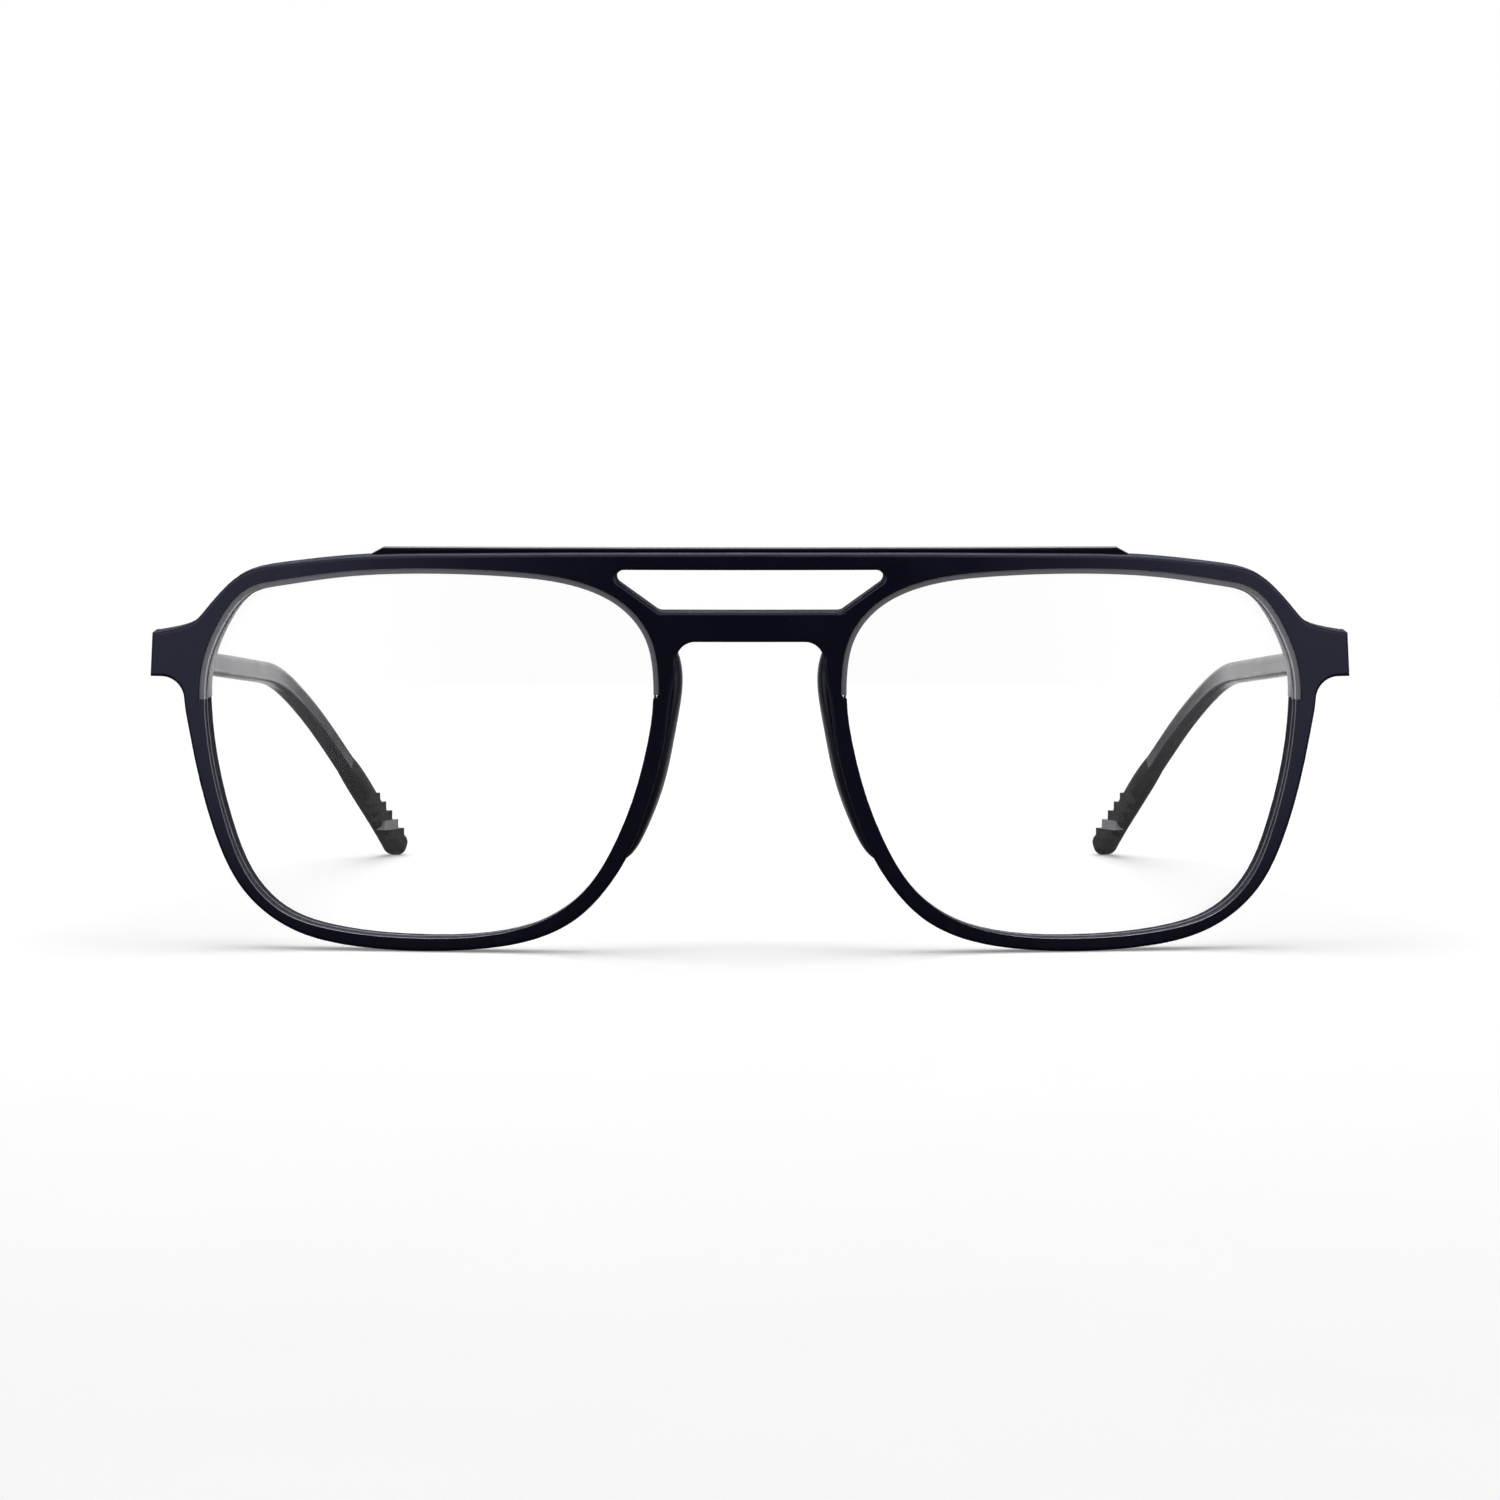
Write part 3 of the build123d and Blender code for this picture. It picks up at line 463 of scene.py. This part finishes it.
# %% Bead and bands
BEAD_IN, BEAD_WIDE, BEAD_HIGH = 0.06 * MM, 0.065 * MM, 0.04 * MM
BAND_NEAR, BAND_FAR, BAND_TOP, BAND_FOOT = 0.03 * MM, 0.05 * MM, -0.08 * MM, -1.2 * MM
BEAD_POINTS = 10
turn = np.linspace(0, 2 * np.pi, BEAD_POINTS, endpoint=False)
oval = np.stack([BEAD_IN + BEAD_WIDE * np.cos(turn), BEAD_HIGH * np.sin(turn)], axis=1)
band = [(BAND_NEAR, BAND_TOP), (BAND_FAR, BAND_TOP), (BAND_FAR, BAND_FOOT), (BAND_NEAR, BAND_FOOT)]
for side_name, side in (("left", 1), ("right", -1)):
    along_lens_edge("lens_edge_" + side_name, side, oval).data.materials.append(edge_painted_highlight)
    for part, finish in ground_edge_painted_shades.items():
        along_lens_edge(f"lens_{part}_edge_{side_name}", side, band, part).data.materials.append(finish)

# %% [markdown]
# ## Hinges, screws and rivets
# The hinge leaves are stamped from stainless strip and keep the strip's brushed lines. Screws
# and rivets are turned, so their lines run round. Stretched noise gives straight lines, and a
# ring pattern gives turned ones.

# %% Brushed steel
def brushed_steel(name, tone, stretch):
    """Stainless strip: noise squeezed across the brushing direction moves tone and roughness."""
    material, tree, shader, place = start_material(name, Metallic=1.0, Anisotropic=0.4)
    lines = noise(tree, place, scale=700.0, detail=6.0, stretch=stretch)
    dark = tuple(0.82 * part for part in tone)
    brushed = blend_colours(tree, spread(tree, lines, 0, 1), dark, tone)
    tree.links.new(brushed, shader.inputs["Base Color"])
    tree.links.new(spread(tree, lines, 0.22, 0.4), shader.inputs["Roughness"])
    emboss(tree, shader, lines, 2.5e-6)
    return material


# %% Turned steel
def turned_steel(name, tone, centre, axis):
    """Turned metal: rings round an axis, from the distance between a point and that axis."""
    material, tree, shader, place = start_material(name, Metallic=1.0, Roughness=0.24)
    turn = {"X": (0, math.radians(90), 0), "Z": (0, 0, 0)}[axis]
    moved = add_node(tree, "ShaderNodeVectorMath", {0: place, 1: centre}, operation="SUBTRACT")
    laid = add_node(tree, "ShaderNodeMapping", {"Vector": moved.outputs[0], "Rotation": turn})
    rings = add_node(tree, "ShaderNodeTexWave", {
        "Vector": laid.outputs[0], "Scale": 2600.0, "Distortion": 0.6},
        wave_type="RINGS", rings_direction="Z").outputs["Fac"]
    dark = tuple(0.85 * part for part in tone)
    tree.links.new(blend_colours(tree, rings, dark, tone), shader.inputs["Base Color"])
    emboss(tree, shader, rings, 1.5e-6)
    return material


# %% Hinge leaves, screws and rivets
LEAF_STEEL, TURNED_STEEL = (0.60, 0.60, 0.62), (0.66, 0.66, 0.68)
finish_with(brushed_steel("brushed_leaf_steel", LEAF_STEEL, (0.08, 1, 1)), "front_hinge_")
finish_with(brushed_steel("brushed_temple_leaf_steel", LEAF_STEEL, (1, 0.08, 1)), "temple_hinge_")
axes = {"hinge_screw_": "Z", "temple_hinge_rivets_": "X", "front_hinge_rivets_": "Z"}
for side in ("left", "right"):
    for name, axis in axes.items():
        low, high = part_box(name + side)
        steel = turned_steel(f"turned_{name}{side}", TURNED_STEEL, (low + high) / 2, axis)
        finish_with(steel, name + side)

# %% [markdown]
# The washers between the knuckles are white nylon, which lets a little light into its surface.

# %% Washers
washer_white, tree, shader, place = start_material(
    "washer_nylon", Roughness=0.5, Subsurface_Weight=0.2, Subsurface_Scale=0.4 * MM)
speckle = noise(tree, place, scale=2600.0, detail=3.0)
nylon = blend_colours(tree, spread(tree, speckle, 0, 1), (0.60, 0.60, 0.56), (0.72, 0.72, 0.68))
tree.links.new(nylon, shader.inputs["Base Color"])
emboss(tree, shader, speckle, 2e-6)
finish_with(washer_white, "hinge_washers_")

# %% [markdown]
# ## Rubber tips
# The sleeves over the temple ends are a soft black rubber with shingled ribs, and one rib is
# light grey. Rubber scatters light at a glancing angle, which a little sheen imitates, and its
# moulded skin has a fine grain that plastic lacks.

# %% Rubber
def moulded_rubber(name, dark, light, rough):
    """Soft rubber: clouded tone, high roughness, faint sheen and a fine moulded grain."""
    material, tree, shader, place = start_material(
        name, Sheen_Weight=0.03, Sheen_Roughness=0.5, Specular_IOR_Level=0.3)
    cloud = noise(tree, place, scale=260.0, detail=3.0)
    grain = noise(tree, place, scale=6500.0)
    clouded = blend_colours(tree, spread(tree, cloud, 0, 1), dark, light)
    tree.links.new(clouded, shader.inputs["Base Color"])
    tree.links.new(spread(tree, grain, rough - 0.06, rough + 0.06), shader.inputs["Roughness"])
    emboss(tree, shader, grain, 4e-6)
    return material


black_rubber = moulded_rubber("black_rubber", (0.010, 0.010, 0.014), (0.016, 0.016, 0.021), 0.50)
grey_rubber = moulded_rubber("grey_rubber", (0.40, 0.40, 0.42), (0.50, 0.50, 0.52), 0.55)
finish_with(black_rubber, "temple_tip_")
finish_with(grey_rubber, "tip_inlay_")

# %% [markdown]
# ## Camera
# The picture was taken from 560 mm ahead of the front and slightly above it, with a long lens.
# The camera aims at the middle of the front, and its field follows from the width of the frame.

# %% Camera
STAND_AHEAD, STAND_UP, AIM_UP = 560 * MM, 57.4 * MM, 23.57 * MM
camera_data = bpy.data.cameras.new("camera")
camera = bpy.data.objects.new("camera", camera_data)
scene.collection.objects.link(camera)
scene.camera = camera
camera_data.sensor_width = 36.0
camera_data.lens = 117.1
camera_data.clip_start, camera_data.clip_end = 0.01, 20.0
stand = Vector((0, FRONT_Y - STAND_AHEAD, STAND_UP))
aim = Vector((0, FRONT_Y, AIM_UP))
camera.location = stand
camera.rotation_euler = (aim - stand).to_track_quat("-Z", "Y").to_euler()
print("camera pitch", round(90 - math.degrees(camera.rotation_euler.x), 3))

# %% [markdown]
# ## Studio
# The glasses stand on a pale table in a bright room, under one large soft lamp and between
# softer ones. The camera and the lenses see table and room as white, as in a catalogue picture,
# and the table keeps the shadow. What the glossy plastic mirrors is set apart from that: a dark
# card keeps the front nearly black, and pale areas beside and behind it brighten the turned ends
# and the undersides of the temples.

# %% Where the table is pale
PALE_BESIDE, BESIDE_SLANT = (0.034, 0.060), 0.35
PALE_AHEAD = (-0.16, -0.09)
PALE_BETWEEN = (0.09, 0.14)
STRIPS_FROM, STRIPS_TO = -0.1, 0.2
STRIPS = greys((0.20, 0), (0.26, 1), (0.38, 1), (0.43, 0), (0.63, 0), (0.80, 1))


def pale_areas(tree, place):
    """How pale the card is at a place, from 0 to 1.

    It is pale ahead of the glasses where |x| + slant y is past its limit, and in strips that run
    across the table between the temples. The larger of the two counts.
    """
    x, y, _ = add_node(tree, "ShaderNodeSeparateXYZ", {0: place}).outputs
    sideways = reckon(tree, "ABSOLUTE", x)
    slanted = reckon(tree, "MULTIPLY_ADD", y, BESIDE_SLANT, sideways)
    beside = spread(tree, slanted, 0, 1, PALE_BESIDE)
    ahead = spread(tree, y, 1, 0, PALE_AHEAD)
    between = spread(tree, sideways, 1, 0, PALE_BETWEEN)
    strips = tone_ramp(tree, spread(tree, y, 0, 1, (STRIPS_FROM, STRIPS_TO)), STRIPS)
    turned = reckon(tree, "MULTIPLY", beside, ahead)
    under = reckon(tree, "MULTIPLY", between, strips)
    return reckon(tree, "MAXIMUM", turned, under)


# %% Table top
TABLE_REACH, TABLE_DROP = 0.9, 0.02 * MM
table_mesh = bpy.data.meshes.new("table")
corners = [(-TABLE_REACH, -TABLE_REACH, 0), (TABLE_REACH, -TABLE_REACH, 0),
           (TABLE_REACH, TABLE_REACH, 0), (-TABLE_REACH, TABLE_REACH, 0)]
table_mesh.from_pydata(corners, [], [(0, 1, 2, 3)])
table_top = bpy.data.objects.new("table", table_mesh)
scene.collection.objects.link(table_top)
table_top.location.z = -TABLE_DROP
print("table", 2 * TABLE_REACH, "m across")

# %% [markdown]
# The table's paper is hardly mottled. A little glow lifts it to white where no shadow falls, and
# it fades away before its edge, so no horizon shows.

# %% Table finish
TABLE_LIFT = 0.21
TABLE_FADE = (0.32, 0.62)
table_finish, tree, shader, place = start_material(
    "pale_table", Roughness=0.9, Specular_IOR_Level=0.0, Emission_Color=(1, 1, 1, 1))
rays = add_node(tree, "ShaderNodeLightPath").outputs
seen = reckon(tree, "MAXIMUM", rays["Is Camera Ray"], rays["Is Transmission Ray"])
mottle = spread(tree, noise(tree, place, scale=40.0, detail=4.0), 0, 1)
paper = blend_colours(tree, mottle, (0.96, 0.96, 0.96), (0.975, 0.975, 0.975))
card = blend_colours(tree, pale_areas(tree, place), (0.09, 0.09, 0.10), (0.96, 0.96, 0.98))
choice = {0: seen, **dict(zip(MIX_COLOURS, (card, paper)))}
top = add_node(tree, "ShaderNodeMix", choice, data_type="RGBA")
tree.links.new(top.outputs[MIX_COLOUR], shader.inputs["Base Color"])
tree.links.new(reckon(tree, "MULTIPLY", seen, TABLE_LIFT), shader.inputs["Emission Strength"])
away = add_node(tree, "ShaderNodeVectorMath", {0: place}, operation="LENGTH").outputs["Value"]
clear = add_node(tree, "ShaderNodeBsdfTransparent").outputs[0]
faded = add_node(tree, "ShaderNodeMixShader", {
    0: spread(tree, away, 0.0, 1.0, TABLE_FADE), 1: shader.outputs[0], 2: clear})
tree.links.new(faded.outputs[0], tree.nodes["Material Output"].inputs["Surface"])
table_mesh.materials.append(table_finish)

# %% [markdown]
# The room's light goes by heading, from -1 straight ahead of the glasses, where the camera
# stands, to 1 straight behind them. It is darkest round the camera, bright to both sides of it,
# dim beside and above the glasses, and bright again straight behind them. Matt surfaces get
# about half of what mirrors show.

# %% Room
ROOM_TONES = greys(
    (0.016, 0.02), (0.045, 1), (0.25, 1), (0.40, 0.32), (0.955, 0.16), (0.992, 1))
ROOM_FILL, ROOM_MIRRORED, ROOM_SEEN = 0.55, 1.0, 1.0
world = bpy.data.worlds.new("studio")
scene.world = world
world.use_nodes = True
tree = world.node_tree
tree.nodes.clear()
rays = add_node(tree, "ShaderNodeLightPath").outputs
heading = add_node(tree, "ShaderNodeTexCoord").outputs["Generated"]
forwards = add_node(tree, "ShaderNodeSeparateXYZ", {0: heading}).outputs["Y"]
mirrored = tone_ramp(tree, spread(tree, forwards, 0.0, 1.0, (-1.0, 1.0)), ROOM_TONES)
seen = reckon(tree, "MAXIMUM", rays["Is Camera Ray"], rays["Is Transmission Ray"])
dim, full = MIX_NUMBERS
gain = add_node(tree, "ShaderNodeMix", {0: rays["Is Glossy Ray"], dim: ROOM_FILL, full: ROOM_MIRRORED})
fill = reckon(tree, "MULTIPLY", mirrored, gain.outputs[0])
level = add_node(tree, "ShaderNodeMix", {0: seen, dim: fill, full: ROOM_SEEN}).outputs[0]
background = add_node(tree, "ShaderNodeBackground", {"Color": (1, 1, 1, 1), "Strength": level})
add_node(tree, "ShaderNodeOutputWorld", {"Surface": background.outputs[0]})
print("room tones", len(ROOM_TONES))

# %% [markdown]
# A large lamp above gives the soft shadow under the glasses. The side lamps and the one behind
# draw faint lines of light along the edges.

# %% Lamps
LAMP_AIM = (0, 0, 0.02)


def soft_lamp(name, place, width, watts):
    """Square soft lamp, turned towards the glasses."""
    data = bpy.data.lights.new(name, "AREA")
    data.shape, data.size, data.energy = "SQUARE", width, watts
    lamp = bpy.data.objects.new(name, data)
    scene.collection.objects.link(lamp)
    lamp.location = place
    lamp.rotation_euler = (Vector(LAMP_AIM) - Vector(place)).to_track_quat("-Z", "Y").to_euler()
    print("lamp", name, watts, "W")


soft_lamp("lamp_above", (0, 0.1, 1.0), 1.0, 5.8)
for name, side in (("lamp_left", 1.0), ("lamp_right", -1.0)):
    soft_lamp(name, (side, -0.35, 0.45), 0.7, 1.0)
soft_lamp("lamp_behind", (0, 1.0, 0.7), 0.5, 3.5)

# %% [markdown]
# The picture uses the plain display transform.

# %% Close
scene.view_settings.view_transform = "Standard"
